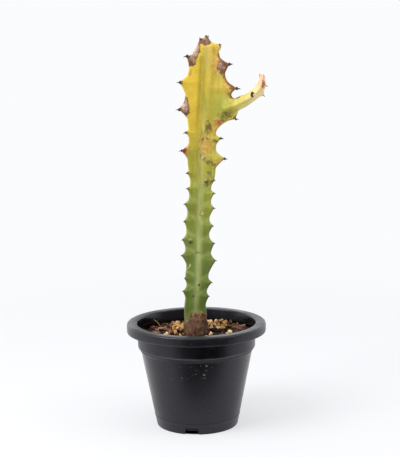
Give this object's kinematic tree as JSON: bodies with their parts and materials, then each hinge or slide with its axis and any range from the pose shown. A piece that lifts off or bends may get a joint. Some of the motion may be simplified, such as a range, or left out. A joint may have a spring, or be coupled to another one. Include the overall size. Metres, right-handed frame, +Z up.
{
  "type": "potted euphorbia",
  "caption": "Three-angled thorny euphorbia stem with a wide crested head and one side arm, standing in a filled plastic nursery pot with a broad rim.",
  "frame": {"origin": "centre of the pot's foot, on the surface that the pot stands on", "axes": "+Z up along the pot's axis and the plant; the plant's broad flat face looks along -Y, and its side arm reaches out to +X"},
  "size_m": [0.1313, 0.13, 0.3612],
  "materials": {
    "pot_plastic": "satin",
    "potting_mix": "matte",
    "grit": "matte",
    "pale_pebble": "matte",
    "stem_skin": "satin"
  },
  "bodies": {
    "root": {"pot": "pot_plastic", "potting_mix": "potting_mix", "grit_left": "grit", "grit_right": "grit", "pale_pebble": "pale_pebble", "stem": "stem_skin"}
  },
  "joints": []
}
